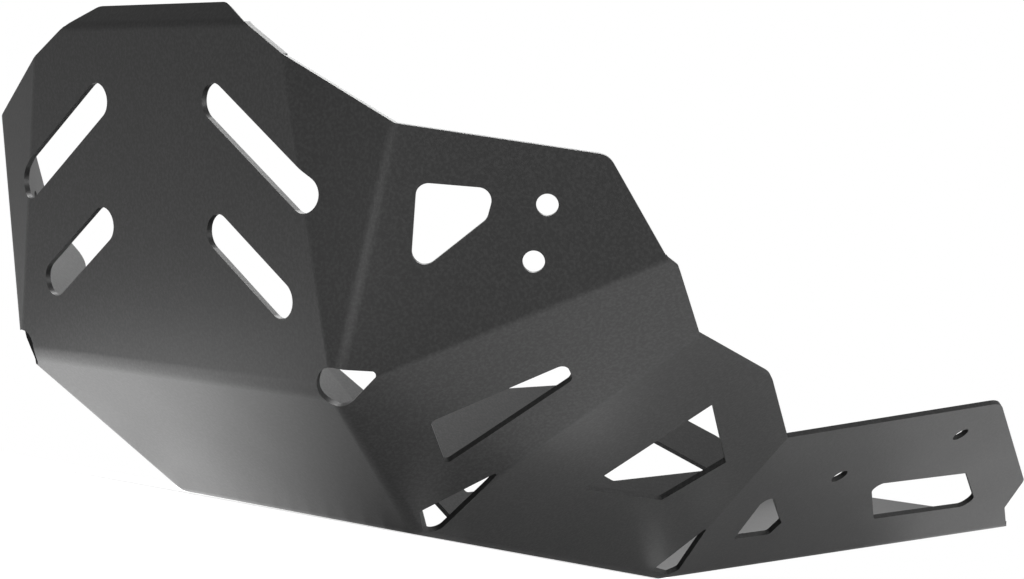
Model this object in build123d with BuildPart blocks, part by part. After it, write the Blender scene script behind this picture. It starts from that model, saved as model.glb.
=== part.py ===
"""Engine guard of an off-road motorcycle: one aluminium sheet, cut, folded and closed at its seams.

X runs along the motorcycle with the rear at +X, Y across it, Z up. The origin is the middle of the
flat of the belly, on its outer face. The near side is -Y and the far side is +Y.
Every panel is flat. A flank panel is hinged on a fold line, and neighbouring flank panels meet in
a closed seam that starts at a corner of the centre strip. In a flank panel's own plane, x runs down
or back along its fold, and y runs away from the fold. In a panel of the centre strip, x runs down
or back along the strip, and y runs to the near side.
"""

from build123d import *
import os

os.makedirs("parts", exist_ok=True)

# Sheet and the outer radii of its folds
sheet = 2.5
belly_bend = 9.0
chin_bend = 11.0
shoulder_bend = 12.0
wing_bend = 8.0
lip_bend = 7.0
seam_bend = 4.0

# Centre strip: the belly between keel and heel, the chin before it and the tray behind it
belly_length, keel_half, heel_half = 171.5, 79.0, 66.0
chin_run, chin_half, chin_z = 80.5, 105.0, 46.5
tray_run, tail_half, tail_z = 266.0, 68.0, 60.0

# Front above the chin, with the lip folded back along its top
front_lean, lip_lean = 17.25, 20.6
wing_height, wing_half = 129.8, 83.0
front_height, front_half = 142.4, 60.5
lip_height, lip_half = 10.0, 42.5

# Tongue behind the tray
tongue_length, tongue_half = 18.0, 45.0

# Angle that each flank panel is folded through
wing_fold = 17.1
shoulder_fold = 26.9
cheek_fold = 43.8
flank_fold = 40.4
tail_fold = 41.6

# Top of the shoulder fold, and lengths of the seams up from their corners
shoulder_down, shoulder_out = 34.3, 44.9
near_cheek_seam, far_cheek_seam = 137.6, 131.6
near_flank_seam, far_flank_seam = 148.5, 118.0
near_tail_seam, far_tail_seam = 114.2, 143.7

# Free corners of the flank panels with their radii
shoulder_corner, shoulder_round = (-7.0, 80.3), 8.0
far_shoulder_corner, far_shoulder_round = (-5.1, 58.8), 8.0
cheek_corner, cheek_round = (1.5, 140.2), 4.0
far_cheek_corner, far_cheek_round = (18.3, 123.0), 11.0
far_cheek_step, far_cheek_step_round = (21.0, 104.0), 5.0
flank_corner, flank_round = (79.2, 138.3), 20.0
tail_corner, tail_round = (128.4, 125.0), 18.0
far_tail_start = (0.0, 97.0)
far_tail_corner, far_tail_round = (184.0, 95.6), 12.0
tail_point, tail_point_round = (233.9, 48.7), 10.0
tail_step, tail_step_round = (246.2, 22.3), 5.0
lip_round = 9.0

# Slots of the front
slot_width, slot_slope = 15.0, 34.0
upper_slot, upper_slot_length = (48.7, 65.3), 77.5
lower_slot, lower_slot_length = (95.4, 57.3), 59.0

# Windows of the flank panels, with the radius of every corner
shoulder_window = [(19.8, 12.7), (15.3, 42.0), (27.4, 41.6), (57.0, 18.5)]
shoulder_window_round = 5.0
cheek_window = [(34.2, 28.0), (29.8, 86.0), (40.0, 86.0), (61.5, 25.3)]
cheek_window_rounds = [2.5, 3.5, 3.5, 1.5]
flank_window = [(57.3, 48.0), (67.5, 114.4), (116.2, 83.7), (108.0, 51.8)]
flank_window_rounds = [1.5, 0.8, 1.0, 1.0]
front_tail_window = [(23.8, 29.0), (12.8, 69.5), (49.2, 38.5), (49.0, 29.0)]
rear_tail_window = [(127.5, 29.8), (91.9, 63.4), (167.7, 63.4), (212.9, 29.8)]
front_tail_window_rounds = [1.5, 4.0, 2.0, 1.5]
rear_tail_window_rounds = [2.5, 4.0, 5.0, 5.0]
far_front_tail_window = [(20.2, 29.0), (13.9, 54.0), (49.2, 38.5), (49.0, 29.0)]
far_rear_tail_window = [(127.5, 25.7), (91.9, 63.4), (169.2, 63.4), (207.8, 25.7)]
far_rear_tail_window_rounds = [2.5, 4.0, 5.0, 1.5]

# Bolt holes, from their fold
bolt_hole = 8.5
near_shoulder_bolts = [(16.7, 62.4), (38.9, 62.4)]
far_shoulder_bolts = [(27.0, 60.0), (49.2, 60.0)]
near_tail_bolts = [(56.6, 74.9), (122.7, 100.5)]
far_tail_bolts = [(122.7, 79.5)]

# Relief openings at the corners, measured up the seam and across it to the front
chin_relief_radius, chin_relief_tip, chin_relief_tip_radius = 8.4, 15.2, 1.6
chin_relief_ahead = 1.4
keel_relief = [(4.0, -9.5), (4.2, 0.3), (10.5, 9.5), (48.0, 2.1)]
keel_relief_rounds = [4.0, 2.0, 1.5, 0.8]
near_heel_relief = [(6.0, -6.0), (3.8, -1.0), (9.5, 11.5), (44.5, 0.7)]
far_heel_relief = [(6.0, -2.5), (4.2, 2.5), (10.0, 23.0), (44.5, 0.7)]
heel_relief_rounds = [2.0, 1.5, 1.5, 0.8]

# Tools that cut outlines and openings: how deep and how far proud of the outer face they go
depth = 8.0
proud = 1.0
block_margin = 22.0
tiny = 0.001


def corner(along, half, height):
    """A corner on the near side."""
    return Vector(along, -half, height)


def middle(point):
    """The point of the centre line level with a corner."""
    return Vector(point.X, 0, point.Z)


def across(start, end):
    """Outer face of a panel of the centre strip."""
    along = (end - start).normalized()
    return Plane(origin=start, x_dir=along, z_dir=Vector(0, 1, 0).cross(along))


def hinge(start, end, neighbour, angle):
    """Outer face of a panel folded up from its neighbour about the line from start to end."""
    normal = neighbour.z_dir.rotate(Axis((0, 0, 0), end - start), -angle)
    return Plane(origin=start, x_dir=end - start, z_dir=normal)


def seam_direction(first, second):
    """Direction of the seam between two flank panels, going up."""
    run = first.z_dir.cross(second.z_dir).normalized()
    return run if run.Z > 0 else run * -1


def meeting_point(first, second, third):
    """The one point that lies in three planes."""
    a, b, c = first.z_dir, second.z_dir, third.z_dir
    total = b.cross(c) * a.dot(first.origin) + c.cross(a) * b.dot(second.origin)
    total += a.cross(b) * c.dot(third.origin)
    return total * (1 / a.dot(b.cross(c)))


def spot(panel, point):
    """A point as x and y in a panel's own plane."""
    local = panel.to_local_coords(point)
    return (local.X, local.Y)


def seam_plane(start, run, faces):
    """Plane square to the mean of some faces, with x up a seam and y to the front of it."""
    mean = sum((face.z_dir for face in faces), Vector(0, 0, 0)).normalized()
    along = run - mean * run.dot(mean)
    return Plane(origin=start, x_dir=along, z_dir=mean)


# Corners of the centre strip
uphill = Vector(0, 0, 1).rotate(Axis.Y, -front_lean)
keel = corner(-belly_length / 2, keel_half, 0)
heel = corner(belly_length / 2, heel_half, 0)
chin = corner(keel.X - chin_run, chin_half, chin_z)
tail = corner(heel.X + tray_run, tail_half, tail_z)
wing_top = corner(chin.X, wing_half, chin_z) + uphill * wing_height
brow = middle(chin) + uphill * front_height
crown = brow + Vector(0, 0, 1).rotate(Axis.Y, lip_lean) * lip_height

# Panels of the centre strip
lip_panel = across(crown, brow)
front_panel = across(brow, middle(chin))
chin_panel = across(middle(chin), middle(keel))
belly_panel = across(middle(keel), middle(heel))
tray_panel = across(middle(heel), middle(tail))

# Panels of the near flank and the seams between them
wing_panel = hinge(wing_top, chin, front_panel, wing_fold)
shoulder = wing_panel.from_local_coords(Vector(shoulder_down, shoulder_out, 0))
shoulder_panel = hinge(shoulder, chin, wing_panel, shoulder_fold)
cheek_panel = hinge(chin, keel, chin_panel, cheek_fold)
flank_panel = hinge(keel, heel, belly_panel, flank_fold)
tail_panel = hinge(heel, tail, tray_panel, tail_fold)
cheek_run = seam_direction(shoulder_panel, cheek_panel)
flank_run = seam_direction(cheek_panel, flank_panel)
tail_run = seam_direction(flank_panel, tail_panel)
near_seam_tops = [chin + cheek_run * near_cheek_seam, keel + flank_run * near_flank_seam,
                  heel + tail_run * near_tail_seam]
far_seam_tops = [chin + cheek_run * far_cheek_seam, keel + flank_run * far_flank_seam,
                 heel + tail_run * far_tail_seam]

# Planes of the relief openings
chin_corner_faces = [front_panel, wing_panel, shoulder_panel, cheek_panel, chin_panel]
chin_relief_plane = seam_plane(chin, cheek_run, chin_corner_faces)
keel_relief_plane = seam_plane(keel, flank_run, [cheek_panel, flank_panel])
heel_relief_plane = seam_plane(heel, tail_run, [flank_panel, tail_panel])


def folded_block(inset):
    """Near half of the solid that the sheet wraps, with its faces set in and its folds rounded.

    The flank and tail faces pass through the corners of the faces already set in, so that four
    faces meet in one point at the keel and at the heel.
    """
    lip, front, under_chin, belly, tray, wing, outer_shoulder, cheek = [
        panel.offset(-inset) for panel in (lip_panel, front_panel, chin_panel, belly_panel,
                                           tray_panel, wing_panel, shoulder_panel, cheek_panel)]
    inner_keel = meeting_point(under_chin, belly, cheek)
    flank = Plane(origin=inner_keel, x_dir=flank_panel.x_dir, z_dir=flank_panel.z_dir)
    inner_heel = meeting_point(belly, tray, flank)
    tail_side = Plane(origin=inner_heel, x_dir=tail_panel.x_dir, z_dir=tail_panel.z_dir)
    faces = [lip, front, under_chin, belly, tray, wing, outer_shoulder, cheek, flank, tail_side]

    # Folds that meet at the keel and heel corners are rounded together, the others one by one
    rounds = [
        (belly_bend, [(under_chin, cheek), (belly, flank), (tray, tail_side), (under_chin, belly),
                      (belly, tray), (cheek, flank), (flank, tail_side)]),
        (chin_bend, [(front, under_chin)]),
        (shoulder_bend, [(wing, outer_shoulder)]),
        (wing_bend, [(front, wing)]),
        (lip_bend, [(lip, front)]),
        (seam_bend, [(outer_shoulder, cheek)]),
    ]

    length = tail.X - crown.X + 4 * block_margin
    width = -near_seam_tops[0].Y + block_margin
    height = crown.Z + 4 * block_margin
    with BuildPart() as block:
        with Locations(((tail.X + crown.X) / 2, -width / 2, crown.Z / 2)):
            Box(length, width, height)
        for face in faces:
            split(bisect_by=face, keep=Keep.BOTTOM)
        with BuildSketch(chin_relief_plane):
            with Locations((0, chin_relief_ahead)):
                Circle(chin_relief_radius)
            with Locations((chin_relief_tip, chin_relief_ahead)):
                Circle(chin_relief_tip_radius)
            make_hull()
        extrude(amount=2 * depth, both=True, mode=Mode.SUBTRACT)
        for radius, folds in rounds:
            edges = ShapeList()
            for first, second in folds:
                edges += block.edges().filter_by(
                    lambda edge: all(abs(face.to_local_coords(edge @ end).Z) < tiny
                                     for face in (first, second) for end in (0, 1)))
            fillet(edges, radius - inset)
    return block.part


# Outlines of the panels, as corners and radii; those of the centre strip are halves
strip_outlines = [
    (lip_panel, [(0, 0), (lip_height, 0), (lip_height, front_half), (0, lip_half)],
     [0, 0, 0, lip_round]),
    (front_panel, [(0, 0), (front_height, 0), (front_height, chin_half),
                   (front_height - wing_height, wing_half), (0, front_half)], 0),
    (chin_panel, [(0, 0), spot(chin_panel, middle(keel)), spot(chin_panel, keel),
                  (0, chin_half)], 0),
    (belly_panel, [(0, 0), (belly_length, 0), (belly_length, heel_half), (0, keel_half)], 0),
]
tray_length, tray_half = spot(tray_panel, tail)
tongue_end = tray_length + tongue_length
strip_outlines.append(
    (tray_panel, [(0, 0), (tongue_end, 0), (tongue_end, tongue_half), (tray_length, tray_half),
                  (0, heel_half)], 0))
strip_outlines.append(
    (wing_panel, [(0, 0), spot(wing_panel, chin), (shoulder_down, shoulder_out)], 0))

cheek_top, flank_top, tail_top = near_seam_tops
near_outlines = strip_outlines + [
    (shoulder_panel, [(0, 0), spot(shoulder_panel, chin), spot(shoulder_panel, cheek_top),
                      shoulder_corner], [0, 0, 0, shoulder_round]),
    (cheek_panel, [(0, 0), spot(cheek_panel, keel), spot(cheek_panel, flank_top),
                   cheek_corner, spot(cheek_panel, cheek_top)], [0, 0, 0, cheek_round, 0]),
    (flank_panel, [(0, 0), spot(flank_panel, heel), spot(flank_panel, tail_top),
                   flank_corner, spot(flank_panel, flank_top)], [0, 0, 0, flank_round, 0]),
    (tail_panel, [(0, 0), spot(tail_panel, tail), tail_step, tail_point, tail_corner,
                  spot(tail_panel, tail_top)],
     [0, 0, tail_step_round, tail_point_round, tail_round, 0]),
]

cheek_top, flank_top, tail_top = far_seam_tops
far_outlines = strip_outlines + [
    (shoulder_panel, [(0, 0), spot(shoulder_panel, chin), spot(shoulder_panel, cheek_top),
                      far_shoulder_corner], [0, 0, 0, far_shoulder_round]),
    (cheek_panel, [(0, 0), spot(cheek_panel, keel), spot(cheek_panel, flank_top),
                   far_cheek_step, far_cheek_corner, spot(cheek_panel, cheek_top)],
     [0, 0, 0, far_cheek_step_round, far_cheek_round, 0]),
    (flank_panel, [(0, 0), spot(flank_panel, heel), spot(flank_panel, tail_top),
                   spot(flank_panel, flank_top)], 0),
    (tail_panel, [(0, 0), spot(tail_panel, tail), tail_step, tail_point, far_tail_corner,
                  far_tail_start, spot(tail_panel, tail_top)],
     [0, 0, tail_step_round, tail_point_round, far_tail_round, 0, 0]),
]

# Openings of each side, as corners and radii
shared_openings = [
    (shoulder_panel, shoulder_window, shoulder_window_round),
    (cheek_panel, cheek_window, cheek_window_rounds),
    (flank_panel, flank_window, flank_window_rounds),
    (keel_relief_plane, keel_relief, keel_relief_rounds),
]
near_openings = shared_openings + [
    (heel_relief_plane, near_heel_relief, heel_relief_rounds),
    (tail_panel, front_tail_window, front_tail_window_rounds),
    (tail_panel, rear_tail_window, rear_tail_window_rounds),
]
far_openings = shared_openings + [
    (heel_relief_plane, far_heel_relief, heel_relief_rounds),
    (tail_panel, far_front_tail_window, front_tail_window_rounds),
    (tail_panel, far_rear_tail_window, far_rear_tail_window_rounds),
]

outer_block = folded_block(0)
inner_block = folded_block(sheet)


def side(outlines, openings, shoulder_bolts, tail_bolts):
    """The near half of the sheet, trimmed to some outlines and pierced."""
    with BuildPart() as trim:
        for panel, corners, radii in outlines:
            with BuildSketch(panel.offset(proud)):
                with BuildLine():
                    FilletPolyline(*corners, radius=radii, close=True)
                make_face()
            extrude(amount=-depth - proud)
    with BuildPart() as half:
        add(outer_block)
        add(inner_block, mode=Mode.SUBTRACT)
        add(trim.part, mode=Mode.INTERSECT)
        for panel, corners, radii in openings:
            with BuildSketch(panel.offset(proud)):
                with BuildLine():
                    FilletPolyline(*corners, radius=radii, close=True)
                make_face()
            extrude(amount=-depth - proud, mode=Mode.SUBTRACT)
        with BuildSketch(front_panel.offset(proud)):
            for place, length in ((upper_slot, upper_slot_length), (lower_slot, lower_slot_length)):
                with Locations(place):
                    SlotOverall(length, slot_width, rotation=90 - slot_slope)
        extrude(amount=-depth - proud, mode=Mode.SUBTRACT)
        for panel, places in ((shoulder_panel, shoulder_bolts), (tail_panel, tail_bolts)):
            with BuildSketch(panel.offset(proud)):
                with Locations(*places):
                    Circle(bolt_hole / 2)
            extrude(amount=-depth - proud, mode=Mode.SUBTRACT)
    return half.part


near_side = side(near_outlines, near_openings, near_shoulder_bolts, near_tail_bolts)
far_side = side(far_outlines, far_openings, far_shoulder_bolts, far_tail_bolts)

with BuildPart() as guard:
    add(far_side)
    mirror(about=Plane.XZ, mode=Mode.REPLACE)
    add(near_side)
guard.part.label = "guard"
export_step(guard.part, "parts/guard.step")
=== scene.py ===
"""Dresses the folded engine guard in its black powder coat and sets the studio round it."""

import math

import bpy
from mathutils import Matrix, Vector

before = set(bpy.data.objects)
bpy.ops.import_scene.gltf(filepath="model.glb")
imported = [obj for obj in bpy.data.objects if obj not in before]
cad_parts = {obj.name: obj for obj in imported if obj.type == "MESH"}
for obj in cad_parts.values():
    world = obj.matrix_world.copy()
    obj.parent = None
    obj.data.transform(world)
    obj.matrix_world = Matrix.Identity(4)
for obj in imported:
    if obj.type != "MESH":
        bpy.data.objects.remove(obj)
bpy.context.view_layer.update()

bl_info = {
    "name": "Engine guard",
    "version": (1, 0, 0),
    "blender": (4, 2, 0),
    "location": "View3D > Sidebar > Engine guard",
    "description": "Powder coats a motorcycle engine guard and sets a plain studio round it",
    "category": "Object",
}

MM = 0.001

# Grain of the coat: how many grains one cell of the noise spans, and the noise values at which
# the painted shade in its hollows and the painted highlight on its tops are full
GRAINS_PER_CELL = 1.4
GRAIN_SHADE_FULL, GRAIN_HIGHLIGHT_FULL = 0.42, 0.66

# Patches of slightly differing gloss, each about 45 mm wide
PATCHES_PER_METRE = 22.0
PATCH_LOW, PATCH_HIGH = 0.3, 0.7
PATCH_CHANGE = 0.012

# Camera: its sensor in millimetres, and how near and far it sees in metres
SENSOR_WIDTH = 36.0
CLIP_NEAR, CLIP_FAR = 0.01, 100.0

# Floor and room: how far the floor lies under the belly, what it adds of its own light where the
# camera sees it and where the coat mirrors it, and how bright the room is as light and backdrop
FLOOR_DROP = 0.4 * MM
FLOOR_SEEN, FLOOR_MIRRORED = 0.8, 0.1
ROOM_COLOUR = "#FFFFFF"
ROOM_LIGHT, BACKDROP_LIGHT = 0.36, 1.0

# Lamps: the boxes face a point near the guard's middle. The floor lamps shine up from a level
# between the floor's and the belly's.
AIM = Vector((0.05, 0, 0.08))
UP = Vector((0, 0, 1))
LAMP_DROP = 0.2 * MM
NOSE_X, NOSE_Y = -0.165, 0.13
NOSE_WIDTH, NOSE_DEPTH = 0.22, 0.14
STRIPS = 12
STRIP_DEPTH = 0.012
STRIP_POWER = 0.0165
STRIP_FADE = 1.4


def linear(hex_colour):
    """An sRGB hex colour as the linear RGBA that shaders work in."""
    channels = [int(hex_colour[i:i + 2], 16) / 255 for i in (1, 3, 5)]
    return tuple(c / 12.92 if c <= 0.04045 else ((c + 0.055) / 1.055) ** 2.4
                 for c in channels) + (1.0,)


def add_node(tree, kind, settings=None, **inputs):
    """A node with its settings, and its inputs set to a value or linked to another socket.

    An input is named with underscores for its spaces, or as i0, i1 and so on by its place.
    """
    node = tree.nodes.new(kind)
    for name, value in (settings or {}).items():
        setattr(node, name, value)
    for name, value in inputs.items():
        key = int(name[1:]) if name[1:].isdigit() else name.replace("_", " ")
        socket = node.inputs[key]
        if isinstance(value, bpy.types.NodeSocket):
            tree.links.new(value, socket)
        else:
            socket.default_value = value
    return node


def empty_material(name):
    """A material with nothing in it but its output."""
    material = bpy.data.materials.new(name)
    material.use_nodes = True
    material.node_tree.nodes.clear()
    output = material.node_tree.nodes.new("ShaderNodeOutputMaterial")
    return material, material.node_tree, output


class CoatSettings(bpy.types.PropertyGroup):
    """Colours and texture of the coated sheet."""

    # Painted shade and highlight: the darker colour goes in the hollows of the grain and the
    # lighter one on its tops, standing in for the light and shade on the pebbled skin
    coat_with_painted_shade: bpy.props.StringProperty(
        name="Coat", description="Powder coat in the hollows of its texture, as sRGB hex",
        default="#171717")
    coat_with_painted_highlight: bpy.props.StringProperty(
        name="Coat, high spots", description="Powder coat on the tops of its texture, as sRGB hex",
        default="#272727")
    # The real grain is about half a millimetre wide. It is drawn coarser, so that it shows.
    grain: bpy.props.FloatProperty(
        name="Grain", description="Width of one grain of the textured coat",
        default=0.9 * MM, unit="LENGTH", min=0.1 * MM, max=5 * MM, precision=5)
    relief: bpy.props.FloatProperty(
        name="Relief", description="Height of the textured coat",
        default=0.05 * MM, unit="LENGTH", min=0, max=1 * MM, precision=6)
    roughness: bpy.props.FloatProperty(
        name="Roughness", description="How far the coat spreads a reflection",
        default=0.42, subtype="FACTOR", min=0, max=1)


class StudioSettings(bpy.types.PropertyGroup):
    """The camera and the floor."""

    lens: bpy.props.FloatProperty(
        name="Lens", description="Focal length for a sensor 36 mm wide", default=88.9,
        min=20, max=300)
    azimuth: bpy.props.FloatProperty(
        name="Azimuth", description="Direction of view, turned from +Y towards +X",
        default=math.radians(44.6), subtype="ANGLE")
    elevation: bpy.props.FloatProperty(
        name="Elevation", description="Upward tilt of the view", default=math.radians(5.67),
        subtype="ANGLE")
    roll: bpy.props.FloatProperty(
        name="Roll", description="Turn of the camera about its view", default=math.radians(10.47),
        subtype="ANGLE")
    station: bpy.props.FloatVectorProperty(
        name="Station", description="Where the camera stands",
        default=(-800.6 * MM, -833.3 * MM, 3.0 * MM), subtype="TRANSLATION", unit="LENGTH")
    floor_size: bpy.props.FloatProperty(
        name="Floor", description="Side of the floor", default=12.0, unit="LENGTH", min=1)
    floor_colour: bpy.props.StringProperty(
        name="Floor colour", description="Paper of the floor, as sRGB hex", default="#F4F4F4")


class GUARD_OT_sheet(bpy.types.Operator):
    """Give the folded sheet its textured black powder coat"""

    bl_idname = "guard.sheet"
    bl_label = "Coat the sheet"

    def execute(self, context):
        coat = powder_coat(context.scene.guard_coat)
        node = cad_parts["guard"]
        if not node.material_slots:
            raise RuntimeError("the guard has no material slot")
        for slot in node.material_slots:
            slot.material = coat
        return {"FINISHED"}


def powder_coat(settings):
    """Black textured polyester powder coat on aluminium.

    Sprayed dry and baked, it gives a dark, slightly pebbled satin skin that stays near black seen
    square on and turns grey where it is seen at a low angle.
    """
    material, tree, output = empty_material("textured black powder coat")
    place = add_node(tree, "ShaderNodeTexCoord")
    where = place.outputs["Object"]
    grain = add_node(tree, "ShaderNodeTexNoise", Vector=where,
                     Scale=1 / settings.grain / GRAINS_PER_CELL, Detail=2.0, Roughness=0.55)
    patches = add_node(tree, "ShaderNodeTexNoise", Vector=where, Scale=PATCHES_PER_METRE,
                       Detail=2.0, Roughness=0.5)
    # Painted shade and highlight: the grain's hollows are coloured darker and its tops lighter,
    # following the same noise as the bump
    painted_highlight_share = add_node(tree, "ShaderNodeMapRange", Value=grain.outputs["Fac"],
                    From_Min=GRAIN_SHADE_FULL, From_Max=GRAIN_HIGHLIGHT_FULL)
    colour = add_node(tree, "ShaderNodeMix", {"data_type": "RGBA"}, i0=painted_highlight_share.outputs["Result"],
                      i6=linear(settings.coat_with_painted_shade), i7=linear(settings.coat_with_painted_highlight))
    gloss = add_node(tree, "ShaderNodeMapRange", Value=patches.outputs["Fac"],
                     From_Min=PATCH_LOW, From_Max=PATCH_HIGH,
                     To_Min=settings.roughness - PATCH_CHANGE,
                     To_Max=settings.roughness + PATCH_CHANGE)
    bump = add_node(tree, "ShaderNodeBump", Strength=1.0, Distance=settings.relief,
                    Height=grain.outputs["Fac"])
    skin = add_node(tree, "ShaderNodeBsdfPrincipled", Base_Color=colour.outputs["Result"],
                    Roughness=gloss.outputs["Result"], Normal=bump.outputs["Normal"],
                    IOR=1.5)
    tree.links.new(skin.outputs["BSDF"], output.inputs["Surface"])
    return material


class GUARD_OT_studio(bpy.types.Operator):
    """Set the camera, the floor, the backdrop and the lamps"""

    bl_idname = "guard.studio"
    bl_label = "Set the studio"

    def execute(self, context):
        settings = context.scene.guard_studio
        set_camera(context.scene, settings)
        lay_floor(settings)
        light_world(context.scene)
        hang_lamps()
        context.scene.view_settings.view_transform = "Standard"
        return {"FINISHED"}


def set_camera(scene, settings):
    """Camera that stands low before the near front corner, with its long lens rolled."""
    azimuth, elevation, roll = settings.azimuth, settings.elevation, settings.roll
    ahead = Vector((math.sin(azimuth) * math.cos(elevation),
                    math.cos(azimuth) * math.cos(elevation), math.sin(elevation)))
    level = Vector((math.cos(azimuth), -math.sin(azimuth), 0))
    upright = level.cross(ahead)
    right = level * math.cos(roll) + upright * math.sin(roll)
    up = upright * math.cos(roll) - level * math.sin(roll)
    bpy.ops.object.camera_add(location=settings.station)
    camera = bpy.context.active_object
    camera.name = "camera"
    turn = Matrix((right, up, -ahead)).transposed()
    camera.matrix_world = Matrix.Translation(settings.station) @ turn.to_4x4()
    camera.data.sensor_width = SENSOR_WIDTH
    camera.data.lens = settings.lens
    camera.data.clip_start = CLIP_NEAR
    camera.data.clip_end = CLIP_FAR
    scene.camera = camera


def lay_floor(settings):
    """Floor just under the belly, of matt white paper that spreads light evenly without gloss.

    The camera sees it nearly white, with a faint shadow.
    """
    bpy.ops.mesh.primitive_plane_add(size=settings.floor_size, location=(0, 0, -FLOOR_DROP))
    floor = bpy.context.active_object
    floor.name = "floor"
    material, tree, output = empty_material("white paper floor")
    paper = add_node(tree, "ShaderNodeBsdfDiffuse", Color=linear(settings.floor_colour))
    lift = add_node(tree, "ShaderNodeEmission", Color=linear(settings.floor_colour))
    path = add_node(tree, "ShaderNodeLightPath")
    mirrored = add_node(tree, "ShaderNodeMath", {"operation": "MULTIPLY"},
                        i0=path.outputs["Is Glossy Ray"], i1=FLOOR_MIRRORED)
    seen = add_node(tree, "ShaderNodeMath", {"operation": "MULTIPLY_ADD"},
                    i0=path.outputs["Is Camera Ray"], i1=FLOOR_SEEN, i2=mirrored.outputs[0])
    tree.links.new(seen.outputs[0], lift.inputs["Strength"])
    both = add_node(tree, "ShaderNodeAddShader", i0=paper.outputs[0], i1=lift.outputs[0])
    tree.links.new(both.outputs[0], output.inputs["Surface"])
    floor.data.materials.append(material)


def light_world(scene):
    """Soft white room, plain white where the camera sees it."""
    world = bpy.data.worlds.new("white room")
    world.use_nodes = True
    tree = world.node_tree
    tree.nodes.clear()
    output = tree.nodes.new("ShaderNodeOutputWorld")
    path = add_node(tree, "ShaderNodeLightPath")
    strength = add_node(tree, "ShaderNodeMapRange", Value=path.outputs["Is Camera Ray"],
                        To_Min=ROOM_LIGHT, To_Max=BACKDROP_LIGHT)
    room = add_node(tree, "ShaderNodeBackground", Color=linear(ROOM_COLOUR),
                    Strength=strength.outputs["Result"])
    tree.links.new(room.outputs[0], output.inputs["Surface"])
    scene.world = world


def hang_lamps():
    """Two soft boxes and a weak card, and small lamps on the floor that light the underside."""
    # Name, place, direction unless at the guard, width, depth and power, in metres and watts
    lamps = [
        ("side box", Vector((0.3, -1.7, 0.4)), None, 1.2, 1.2, 25.0),
        ("back box", Vector((0.72, 0.74, 1.52)), None, 0.8, 0.8, 17.0),
        ("rim card", Vector((1.0, 1.25, 0.5)), None, 1.0, 1.0, 1.5),
        ("nose lamp", Vector((NOSE_X, NOSE_Y, -LAMP_DROP)), UP, NOSE_WIDTH, NOSE_DEPTH, 0.205),
        ("fold lamp", Vector((-0.44, -0.155, -LAMP_DROP)), UP, 0.34, 0.07, 0.24),
        ("keel lamp", Vector((-0.08, -0.2, -LAMP_DROP)), UP, 0.2, 0.14, 0.06),
    ]
    # Strips beside the nose lamp, each weaker than the last, fade its light along the chin
    first_strip_y = NOSE_Y - NOSE_DEPTH / 2 - STRIP_DEPTH / 2
    for step in range(STRIPS):
        place = Vector((NOSE_X, first_strip_y - STRIP_DEPTH * step, -LAMP_DROP))
        power = STRIP_POWER * (1 - step / STRIPS) ** STRIP_FADE
        lamps.append(("nose strip %d" % (step + 1), place, UP, NOSE_WIDTH, STRIP_DEPTH, power))
    for name, place, aim, width, depth, power in lamps:
        bpy.ops.object.light_add(type="AREA", location=place)
        lamp = bpy.context.active_object
        lamp.name = name
        lamp.data.shape = "RECTANGLE"
        lamp.data.size = width
        lamp.data.size_y = depth
        lamp.data.energy = power
        aim = aim or AIM - place
        lamp.rotation_euler = aim.to_track_quat("-Z", "Y").to_euler()


class GUARD_PT_panel(bpy.types.Panel):
    """Settings and steps of the engine guard"""

    bl_idname = "GUARD_PT_panel"
    bl_label = "Engine guard"
    bl_space_type = "VIEW_3D"
    bl_region_type = "UI"
    bl_category = "Engine guard"

    def draw(self, context):
        layout = self.layout
        for group in (context.scene.guard_coat, context.scene.guard_studio):
            for name in group.__annotations__:
                layout.prop(group, name)
        for step in STEPS:
            layout.operator(step)


STEPS = ("guard.sheet", "guard.studio")
CLASSES = (CoatSettings, StudioSettings, GUARD_OT_sheet, GUARD_OT_studio, GUARD_PT_panel)


def register():
    for cls in CLASSES:
        bpy.utils.register_class(cls)
    bpy.types.Scene.guard_coat = bpy.props.PointerProperty(type=CoatSettings)
    bpy.types.Scene.guard_studio = bpy.props.PointerProperty(type=StudioSettings)


def unregister():
    del bpy.types.Scene.guard_studio
    del bpy.types.Scene.guard_coat
    for cls in reversed(CLASSES):
        bpy.utils.unregister_class(cls)


def main():
    register()
    bpy.ops.object.select_all(action="DESELECT")
    bpy.ops.guard.sheet()
    bpy.ops.guard.studio()


if __name__ == "__main__":
    main()
